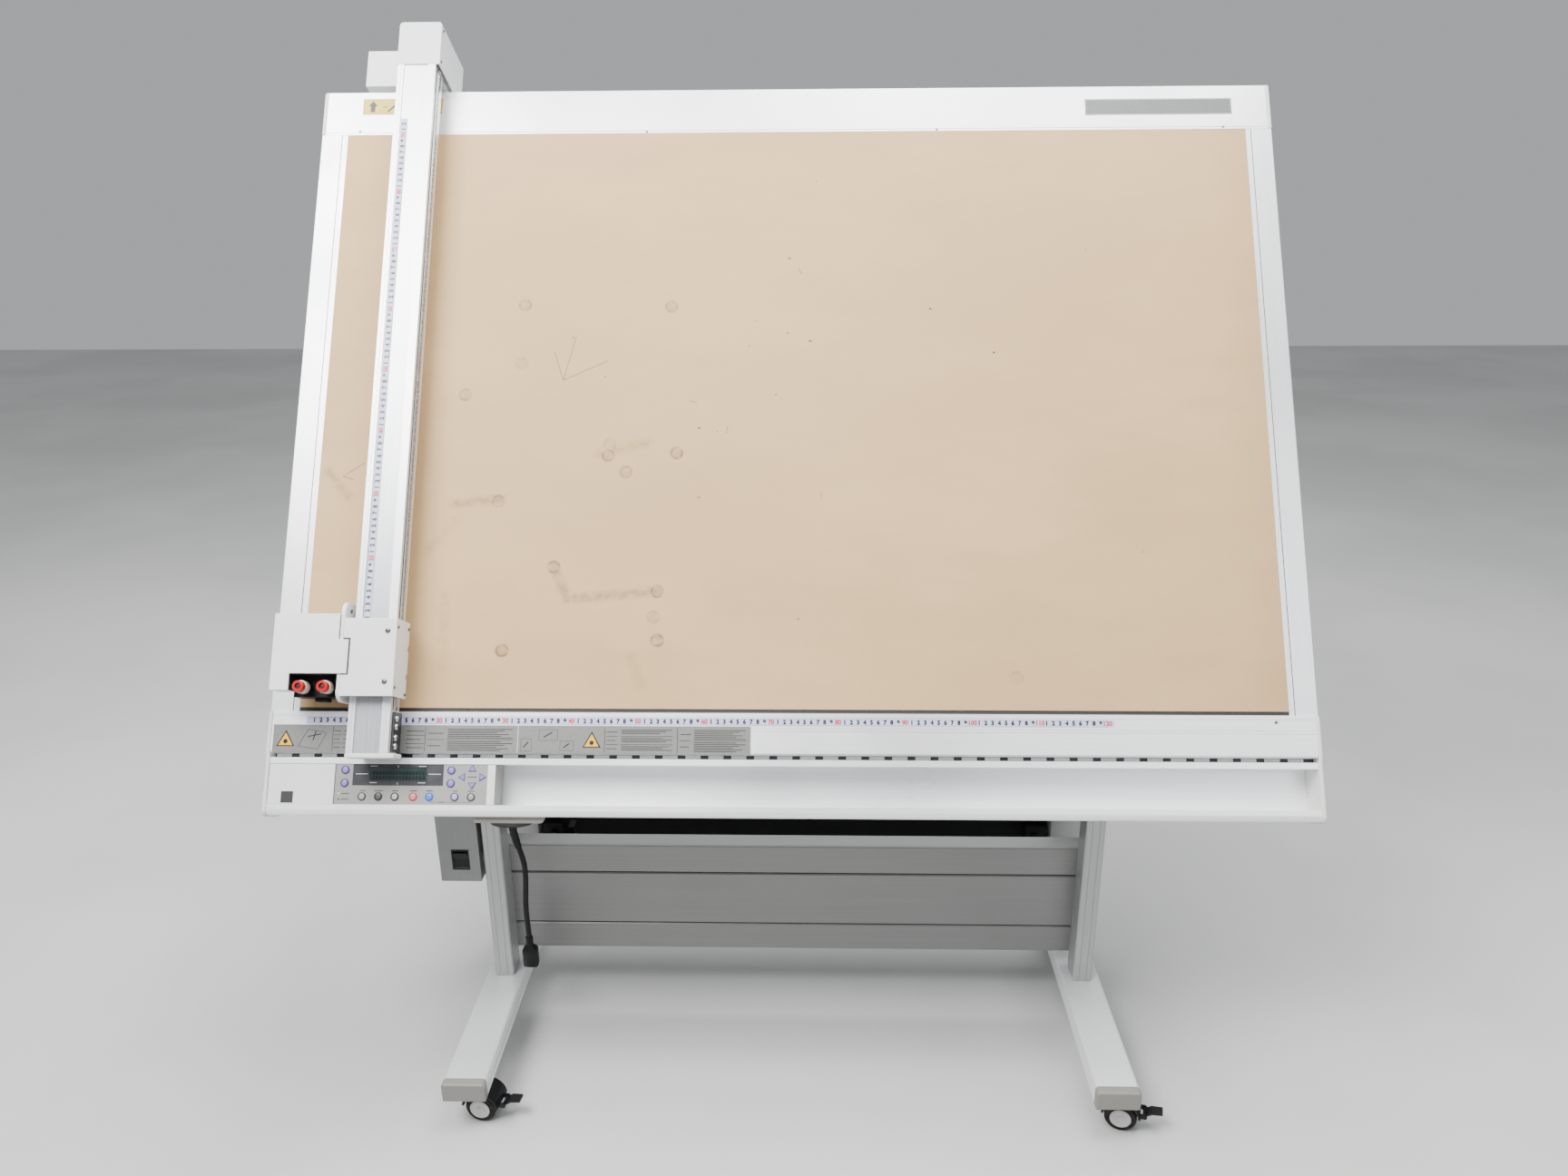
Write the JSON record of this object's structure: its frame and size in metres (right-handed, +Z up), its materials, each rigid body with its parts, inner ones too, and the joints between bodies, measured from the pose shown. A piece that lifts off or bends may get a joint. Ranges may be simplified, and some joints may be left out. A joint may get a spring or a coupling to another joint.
{
  "type": "flatbed vinyl cutter",
  "caption": "Flatbed vinyl cutter: a tilting bed with a tan mat, a sliding beam and tool carriage, a keypad and tool trough, on a two-legged stand with casters.",
  "frame": {"origin": "on the floor, at the centre of the footprint box of the whole machine", "axes": "+Z up, +X along the long ruler to the operator's right, +Y from the operator to the back"},
  "size_m": [1.573, 0.822, 1.6707],
  "materials": {
    "satin_aluminium": "satin anodised extrusion",
    "brushed_grey": "brushed mid-grey aluminium",
    "cover_paint": "off-white powder coat",
    "cap_plastic": "warm off-white moulding",
    "beige_plastic": "pinkish beige moulding",
    "black_plastic": "fine-grained black moulding",
    "caster_rubber": "black treads with grey hub caps",
    "cord_black": "black rubber sheath",
    "dark_steel": "black paint",
    "bright_steel": "ground shaft",
    "mat_tan": "matt tan cutting mat with wear marks",
    "keypad_grey": "printed membrane",
    "display_glass": "dark display window",
    "holder_red": "red cap on a white ring"
  },
  "bodies": {
    "stand": {"foot_left": "satin_aluminium", "foot_right": "satin_aluminium", "foot_cap_left_front": "beige_plastic", "foot_cap_left_rear": "beige_plastic", "foot_cap_right_front": "beige_plastic", "foot_cap_right_rear": "beige_plastic", "post_left": "brushed_grey", "post_right": "brushed_grey", "column_left": "brushed_grey", "column_right": "brushed_grey", "side_head_left": "brushed_grey", "side_head_right": "brushed_grey", "tilt_shaft": "bright_steel", "stretcher_lower": "brushed_grey", "stretcher_middle": "brushed_grey", "stretcher_upper": "brushed_grey", "cross_member": "dark_steel", "switch_box": "brushed_grey", "cable_outlet": "beige_plastic", "cord": "cord_black", "cord_connector": "black_plastic"},
    "lock_lever": {"lock_lever": "black_plastic"},
    "power_switch": {"power_switch": "black_plastic"},
    "bed": {"platen": "satin_aluminium", "cutting_mat": "mat_tan", "front_rail": "satin_aluminium", "rear_rail": "satin_aluminium", "side_rail_left": "satin_aluminium", "side_rail_right": "satin_aluminium", "front_cap_left": "cap_plastic", "front_cap_right": "cap_plastic", "rear_cap_left": "cap_plastic", "rear_cap_right": "cap_plastic", "tool_trough": "satin_aluminium", "blank_plate": "cover_paint", "control_panel": "keypad_grey", "display_window": "display_glass", "tilt_bracket_left": "dark_steel", "tilt_bracket_right": "dark_steel"},
    "beam": {"beam": "satin_aluminium", "beam_end_cap": "cap_plastic", "beam_front_foot": "brushed_grey", "beam_rear_head": "cover_paint", "motor_box": "cover_paint"},
    "carriage": {"carriage_side_plate": "cover_paint", "carriage_cover_right": "cover_paint", "carriage_cover_left": "cover_paint", "tool_block": "black_plastic"},
    "tool_left": {"tool_holder_left": "holder_red"},
    "tool_right": {"tool_holder_right": "holder_red"},
    "caster_front_left": {"caster_fork_front_left": "black_plastic"},
    "wheels_front_left": {"caster_wheels_front_left": "caster_rubber"},
    "brake_front_left": {"caster_brake_front_left": "black_plastic"},
    "caster_front_right": {"caster_fork_front_right": "black_plastic"},
    "wheels_front_right": {"caster_wheels_front_right": "caster_rubber"},
    "brake_front_right": {"caster_brake_front_right": "black_plastic"},
    "caster_rear_left": {"caster_fork_rear_left": "black_plastic"},
    "wheels_rear_left": {"caster_wheels_rear_left": "caster_rubber"},
    "caster_rear_right": {"caster_fork_rear_right": "black_plastic"},
    "wheels_rear_right": {"caster_wheels_rear_right": "caster_rubber"}
  },
  "joints": [
    {"name": "tilt", "type": "hinge", "parent": "stand", "child": "bed", "pos_m": [0, -0.013, 0.7367], "axis": [1, 0, 0], "range_deg": [-60, 0]},
    {"name": "beam_travel", "type": "slide", "parent": "bed", "child": "beam", "axis": [1, 0, 0], "range_m": [0, 1.2]},
    {"name": "carriage_travel", "type": "slide", "parent": "beam", "child": "carriage", "axis": [0, 0.5, 0.866], "range_m": [0, 0.92]},
    {"name": "tool_left_drop", "type": "slide", "parent": "carriage", "child": "tool_left", "axis": [0, 0.866, -0.5], "range_m": [0, 0.004], "stiffness_N_per_m": 300, "springref_m": -0.002},
    {"name": "tool_right_drop", "type": "slide", "parent": "carriage", "child": "tool_right", "axis": [0, 0.866, -0.5], "range_m": [0, 0.004], "stiffness_N_per_m": 300, "springref_m": -0.002},
    {"name": "lock_lever_swing", "type": "hinge", "parent": "stand", "child": "lock_lever", "pos_m": [-0.478, -0.013, 0.577], "axis": [1, 0, 0], "range_deg": [0, 12]},
    {"name": "power_switch_rock", "type": "hinge", "parent": "stand", "child": "power_switch", "pos_m": [-0.5628, -0.142, 0.333], "axis": [1, 0, 0], "range_deg": [-16, 0]},
    {"name": "caster_swivel_front_left", "type": "hinge", "parent": "stand", "child": "caster_front_left", "pos_m": [-0.5085, -0.365, 0.062], "axis": [0, 0, 1], "continuous": true},
    {"name": "wheel_spin_front_left", "type": "hinge", "parent": "caster_front_left", "child": "wheels_front_left", "pos_m": [-0.49067, -0.36751, 0.025], "axis": [0.1392, 0.9903, 0], "continuous": true},
    {"name": "brake_front_left_press", "type": "hinge", "parent": "caster_front_left", "child": "brake_front_left", "pos_m": [-0.45503, -0.37251, 0.029], "axis": [0.1392, 0.9903, 0], "range_deg": [0, 18]},
    {"name": "caster_swivel_front_right", "type": "hinge", "parent": "stand", "child": "caster_front_right", "pos_m": [0.5085, -0.365, 0.062], "axis": [0, 0, 1], "continuous": true},
    {"name": "wheel_spin_front_right", "type": "hinge", "parent": "caster_front_right", "child": "wheels_front_right", "pos_m": [0.5258, -0.36996, 0.025], "axis": [0.2756, 0.9613, 0], "continuous": true},
    {"name": "brake_front_right_press", "type": "hinge", "parent": "caster_front_right", "child": "brake_front_right", "pos_m": [0.56041, -0.37988, 0.029], "axis": [0.2756, 0.9613, 0], "range_deg": [0, 18]},
    {"name": "caster_swivel_rear_left", "type": "hinge", "parent": "stand", "child": "caster_rear_left", "pos_m": [-0.5085, 0.365, 0.062], "axis": [0, 0, 1], "continuous": true},
    {"name": "wheel_spin_rear_left", "type": "hinge", "parent": "caster_rear_left", "child": "wheels_rear_left", "pos_m": [-0.51224, 0.34739, 0.025], "axis": [0.9781, -0.2079, 0], "continuous": true},
    {"name": "caster_swivel_rear_right", "type": "hinge", "parent": "stand", "child": "caster_rear_right", "pos_m": [0.5085, 0.365, 0.062], "axis": [0, 0, 1], "continuous": true},
    {"name": "wheel_spin_rear_right", "type": "hinge", "parent": "caster_rear_right", "child": "wheels_rear_right", "pos_m": [0.51346, 0.3477, 0.025], "axis": [0.9613, 0.2756, 0], "continuous": true}
  ]
}
